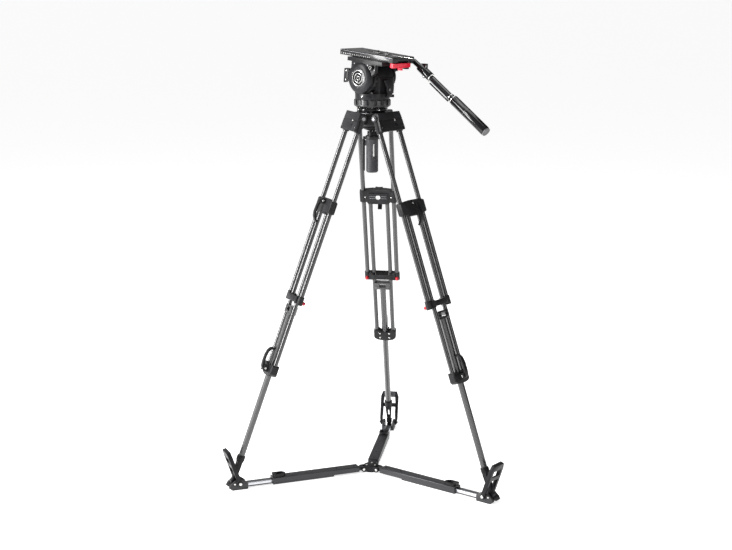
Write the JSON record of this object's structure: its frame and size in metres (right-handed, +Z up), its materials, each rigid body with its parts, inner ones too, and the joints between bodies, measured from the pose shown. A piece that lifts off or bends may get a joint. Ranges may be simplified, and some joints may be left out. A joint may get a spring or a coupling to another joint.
{
  "type": "tripod with fluid head",
  "caption": "Broadcast camera tripod: folding carbon-fibre legs in clamped stages, ground spreader with foot pedals, bowl levelling, and a fluid head with sliding plate and pan bar",
  "frame": {"origin": "centre of the spreader hub's underside, on the floor under the bowl", "axes": "+Z up along the tripod axis, +Y toward the rear leg, +X to the right of it"},
  "size_m": [0.9634, 0.8372, 1.4837],
  "materials": {
    "carbon_tube": "clear-coated woven carbon fibre, dark grey",
    "black_casting": "fine satin black powder coat on magnesium-aluminium die casting",
    "head_black": "satin black painted light-alloy casting with a fine grain",
    "black_plastic": "moulded black glass-filled nylon",
    "spreader_grey": "dark grey anodised channel",
    "bar_alloy": "drawn aluminium with dark edges",
    "steel_pin": "turned steel",
    "ball_alloy": "turned alloy half ball with its stem",
    "gloss_black": "glossy black",
    "red_lever": "glossy crimson moulding",
    "grip_rubber": "soft black rubber grip",
    "plate_top": "black anodised plate with a fine satin top",
    "handle_grey": "grey soft-touch handle"
  },
  "bodies": {
    "crown": {"crown": "black_casting", "crown_pins": "steel_pin"},
    "clamp_cup": {"clamp_cup": "black_casting"},
    "half_ball": {"half_ball": "ball_alloy", "pan_base": "gloss_black"},
    "tie_down": {"tie_down_handle": "handle_grey"},
    "pan_drag": {"pan_drag_ring": "black_plastic"},
    "head": {"head_body": "head_black"},
    "pan_brake": {"pan_brake_lever": "black_plastic"},
    "tilt_brake": {"tilt_brake_lever": "black_plastic"},
    "tilt_drag": {"tilt_drag_ring": "black_plastic"},
    "cradle": {"tilt_cradle": "head_black"},
    "counterbalance": {"counterbalance_knob": "black_plastic"},
    "plate": {"camera_plate": "plate_top"},
    "plate_release": {"plate_release_lever": "red_lever"},
    "pan_bar_arm": {"pan_bar_arm": "gloss_black"},
    "pan_bar_tube": {"pan_bar_tube": "grip_rubber"},
    "hub": {"spreader_hub": "black_casting"},
    "upper_leg_rear": {"shoulder_rear": "black_casting", "upper_tubes_rear": "carbon_tube", "end_fitting_rear": "black_casting"},
    "middle_leg_rear": {"slider_clamp_rear": "black_casting", "middle_tubes_rear": "carbon_tube", "lower_clamp_rear": "black_casting"},
    "lower_leg_rear": {"lower_tube_rear": "carbon_tube", "foot_casting_rear": "black_plastic"},
    "upper_lever_rear": {"upper_lever_rear": "black_plastic"},
    "lower_lever_rear": {"lower_lever_rear": "black_plastic"},
    "outer_arm_rear": {"spreader_arm_rear": "spreader_grey"},
    "inner_bar_rear": {"spreader_bar_rear": "bar_alloy"},
    "arm_lever_rear": {"arm_lever_rear": "black_plastic"},
    "pedal_rear": {"pedal_rear": "black_plastic"},
    "upper_leg_left": {"shoulder_left": "black_casting", "upper_tubes_left": "carbon_tube", "end_fitting_left": "black_casting"},
    "middle_leg_left": {"slider_clamp_left": "black_casting", "middle_tubes_left": "carbon_tube", "lower_clamp_left": "black_casting"},
    "lower_leg_left": {"lower_tube_left": "carbon_tube", "foot_casting_left": "black_plastic"},
    "upper_lever_left": {"upper_lever_left": "black_plastic"},
    "lower_lever_left": {"lower_lever_left": "black_plastic"},
    "outer_arm_left": {"spreader_arm_left": "spreader_grey"},
    "inner_bar_left": {"spreader_bar_left": "bar_alloy"},
    "arm_lever_left": {"arm_lever_left": "black_plastic"},
    "pedal_left": {"pedal_left": "black_plastic"},
    "upper_leg_right": {"shoulder_right": "black_casting", "upper_tubes_right": "carbon_tube", "end_fitting_right": "black_casting"},
    "middle_leg_right": {"slider_clamp_right": "black_casting", "middle_tubes_right": "carbon_tube", "lower_clamp_right": "black_casting"},
    "lower_leg_right": {"lower_tube_right": "carbon_tube", "foot_casting_right": "black_plastic"},
    "upper_lever_right": {"upper_lever_right": "black_plastic"},
    "lower_lever_right": {"lower_lever_right": "black_plastic"},
    "outer_arm_right": {"spreader_arm_right": "spreader_grey"},
    "inner_bar_right": {"spreader_bar_right": "bar_alloy"},
    "arm_lever_right": {"arm_lever_right": "black_plastic"},
    "pedal_right": {"pedal_right": "black_plastic"}
  },
  "joints": [
    {"name": "bowl_level_x", "type": "hinge", "parent": "crown", "child": "clamp_cup", "pos_m": [0, 0, 1.271], "axis": [1, 0, 0], "range_deg": [-6, 6]},
    {"name": "bowl_level_y", "type": "hinge", "parent": "clamp_cup", "child": "half_ball", "pos_m": [0, 0, 1.271], "axis": [0, 1, 0], "range_deg": [-6, 6]},
    {"name": "tie_down_turn", "type": "hinge", "parent": "half_ball", "child": "tie_down", "pos_m": [0, 0, 1.13], "axis": [0, 0, 1], "range_deg": [0, 330]},
    {"name": "pan_drag_turn", "type": "hinge", "parent": "half_ball", "child": "pan_drag", "pos_m": [0, 0, 1.3], "axis": [0, 0, 1], "range_deg": [-90, 90]},
    {"name": "pan", "type": "hinge", "parent": "half_ball", "child": "head", "pos_m": [0, 0, 1.32], "axis": [0, 0, 1], "continuous": true},
    {"name": "pan_brake_turn", "type": "hinge", "parent": "head", "child": "pan_brake", "pos_m": [0, 0, 1.32], "axis": [0, 0, 1], "range_deg": [0, 25]},
    {"name": "tilt_brake_turn", "type": "hinge", "parent": "head", "child": "tilt_brake", "pos_m": [0.05698, -0.02345, 1.352], "axis": [0.8141, -0.5807, 0], "range_deg": [0, 50]},
    {"name": "tilt_drag_turn", "type": "hinge", "parent": "head", "child": "tilt_drag", "pos_m": [-0.02207, -0.03094, 1.391], "axis": [0.5807, 0.8141, 0], "range_deg": [0, 120]},
    {"name": "tilt", "type": "hinge", "parent": "head", "child": "cradle", "pos_m": [0, 0, 1.391], "axis": [0.5807, 0.8141, 0], "range_deg": [-45, 45]},
    {"name": "counterbalance_turn", "type": "hinge", "parent": "cradle", "child": "counterbalance", "pos_m": [0.00635, -0.08314, 1.42739], "axis": [0.5807, 0.8141, 0], "range_deg": [0, 300]},
    {"name": "plate_slide", "type": "slide", "parent": "cradle", "child": "plate", "axis": [0.8109, -0.5784, -0.0889], "range_m": [-0.05, 0.05]},
    {"name": "plate_release", "type": "hinge", "parent": "cradle", "child": "plate_release", "pos_m": [0.11592, -0.02618, 1.4264], "axis": [0.0724, -0.0516, 0.996], "range_deg": [0, 40]},
    {"name": "pan_bar_angle", "type": "hinge", "parent": "cradle", "child": "pan_bar_arm", "pos_m": [0.07181, 0.04213, 1.424], "axis": [-0.5807, -0.8141, 0], "range_deg": [-30, 60]},
    {"name": "pan_bar_extend", "type": "slide", "parent": "pan_bar_arm", "child": "pan_bar_tube", "axis": [0.6725, -0.4797, -0.5635], "range_m": [0, 0.03]},
    {"name": "hub_lift", "type": "slide", "parent": "crown", "child": "hub", "axis": [0, 0, 1], "range_m": [0, 0.3065]},
    {"name": "leg_fold_rear", "type": "hinge", "parent": "crown", "child": "upper_leg_rear", "pos_m": [0, 0.0582, 1.258], "axis": [-1, 0, 0], "range_deg": [0, 15]},
    {"name": "middle_stage_rear", "type": "slide", "parent": "upper_leg_rear", "child": "middle_leg_rear", "axis": [0, -0.3459, 0.9383], "range_m": [-0.25, 0.15]},
    {"name": "lower_stage_rear", "type": "slide", "parent": "middle_leg_rear", "child": "lower_leg_rear", "axis": [0, -0.3459, 0.9383], "range_m": [-0.1, 0.25]},
    {"name": "upper_clamp_lever_rear", "type": "hinge", "parent": "middle_leg_rear", "child": "upper_lever_rear", "pos_m": [0, 0.1833, 0.98225], "axis": [1, 0, 0], "range_deg": [0, 75]},
    {"name": "lower_clamp_lever_rear", "type": "hinge", "parent": "middle_leg_rear", "child": "lower_lever_rear", "pos_m": [0, 0.3934, 0.4181], "axis": [-1, 0, 0], "range_deg": [0, 75]},
    {"name": "arm_fold_rear", "type": "hinge", "parent": "hub", "child": "outer_arm_rear", "pos_m": [0, 0.034, 0.012], "axis": [-1, 0, 0], "range_deg": [0, 74.05]},
    {"name": "bar_slide_rear", "type": "slide", "parent": "outer_arm_rear", "child": "inner_bar_rear", "axis": [0, 1, 0], "range_m": [-0.0904, 0]},
    {"name": "arm_lock_lever_rear", "type": "hinge", "parent": "outer_arm_rear", "child": "arm_lever_rear", "pos_m": [0, 0.364, 0.0306], "axis": [-1, 0, 0], "range_deg": [0, 85]},
    {"name": "pedal_tilt_rear", "type": "hinge", "parent": "inner_bar_rear", "child": "pedal_rear", "pos_m": [0, 0.495, 0.024], "axis": [-1, 0, 0], "range_deg": [0, 25]},
    {"name": "leg_fold_left", "type": "hinge", "parent": "crown", "child": "upper_leg_left", "pos_m": [-0.0504, -0.0291, 1.258], "axis": [0.5, -0.866, 0], "range_deg": [0, 15]},
    {"name": "middle_stage_left", "type": "slide", "parent": "upper_leg_left", "child": "middle_leg_left", "axis": [0.2995, 0.1729, 0.9383], "range_m": [-0.25, 0.15]},
    {"name": "lower_stage_left", "type": "slide", "parent": "middle_leg_left", "child": "lower_leg_left", "axis": [0.2995, 0.1729, 0.9383], "range_m": [-0.1, 0.25]},
    {"name": "upper_clamp_lever_left", "type": "hinge", "parent": "middle_leg_left", "child": "upper_lever_left", "pos_m": [-0.15874, -0.09165, 0.98225], "axis": [-0.5, 0.866, 0], "range_deg": [0, 75]},
    {"name": "lower_clamp_lever_left", "type": "hinge", "parent": "middle_leg_left", "child": "lower_lever_left", "pos_m": [-0.3407, -0.1967, 0.4181], "axis": [0.5, -0.866, 0], "range_deg": [0, 75]},
    {"name": "arm_fold_left", "type": "hinge", "parent": "hub", "child": "outer_arm_left", "pos_m": [-0.02944, -0.017, 0.012], "axis": [0.5, -0.866, 0], "range_deg": [0, 74.05]},
    {"name": "bar_slide_left", "type": "slide", "parent": "outer_arm_left", "child": "inner_bar_left", "axis": [-0.866, -0.5, 0], "range_m": [-0.0904, 0]},
    {"name": "arm_lock_lever_left", "type": "hinge", "parent": "outer_arm_left", "child": "arm_lever_left", "pos_m": [-0.31523, -0.182, 0.0306], "axis": [0.5, -0.866, 0], "range_deg": [0, 85]},
    {"name": "pedal_tilt_left", "type": "hinge", "parent": "inner_bar_left", "child": "pedal_left", "pos_m": [-0.42868, -0.2475, 0.024], "axis": [0.5, -0.866, 0], "range_deg": [0, 25]},
    {"name": "leg_fold_right", "type": "hinge", "parent": "crown", "child": "upper_leg_right", "pos_m": [0.0504, -0.0291, 1.258], "axis": [0.5, 0.866, 0], "range_deg": [0, 15]},
    {"name": "middle_stage_right", "type": "slide", "parent": "upper_leg_right", "child": "middle_leg_right", "axis": [-0.2995, 0.1729, 0.9383], "range_m": [-0.25, 0.15]},
    {"name": "lower_stage_right", "type": "slide", "parent": "middle_leg_right", "child": "lower_leg_right", "axis": [-0.2995, 0.1729, 0.9383], "range_m": [-0.1, 0.25]},
    {"name": "upper_clamp_lever_right", "type": "hinge", "parent": "middle_leg_right", "child": "upper_lever_right", "pos_m": [0.15874, -0.09165, 0.98225], "axis": [-0.5, -0.866, 0], "range_deg": [0, 75]},
    {"name": "lower_clamp_lever_right", "type": "hinge", "parent": "middle_leg_right", "child": "lower_lever_right", "pos_m": [0.3407, -0.1967, 0.4181], "axis": [0.5, 0.866, 0], "range_deg": [0, 75]},
    {"name": "arm_fold_right", "type": "hinge", "parent": "hub", "child": "outer_arm_right", "pos_m": [0.02944, -0.017, 0.012], "axis": [0.5, 0.866, 0], "range_deg": [0, 74.05]},
    {"name": "bar_slide_right", "type": "slide", "parent": "outer_arm_right", "child": "inner_bar_right", "axis": [0.866, -0.5, 0], "range_m": [-0.0904, 0]},
    {"name": "arm_lock_lever_right", "type": "hinge", "parent": "outer_arm_right", "child": "arm_lever_right", "pos_m": [0.31523, -0.182, 0.0306], "axis": [0.5, 0.866, 0], "range_deg": [0, 85]},
    {"name": "pedal_tilt_right", "type": "hinge", "parent": "inner_bar_right", "child": "pedal_right", "pos_m": [0.42868, -0.2475, 0.024], "axis": [0.5, 0.866, 0], "range_deg": [0, 25]}
  ],
  "couplings": [
    {"joint": "hub_lift", "follows": "leg_fold_rear", "m_per_rad": 1.1688},
    {"joint": "arm_fold_rear", "follows": "leg_fold_rear", "ratio": 4.9333},
    {"joint": "bar_slide_rear", "follows": "leg_fold_rear", "m_per_rad": -0.3438},
    {"joint": "arm_fold_left", "follows": "leg_fold_rear", "ratio": 4.9333},
    {"joint": "bar_slide_left", "follows": "leg_fold_rear", "m_per_rad": -0.3438},
    {"joint": "leg_fold_left", "follows": "leg_fold_rear", "ratio": 1},
    {"joint": "arm_fold_right", "follows": "leg_fold_rear", "ratio": 4.9333},
    {"joint": "bar_slide_right", "follows": "leg_fold_rear", "m_per_rad": -0.3438},
    {"joint": "leg_fold_right", "follows": "leg_fold_rear", "ratio": 1}
  ]
}
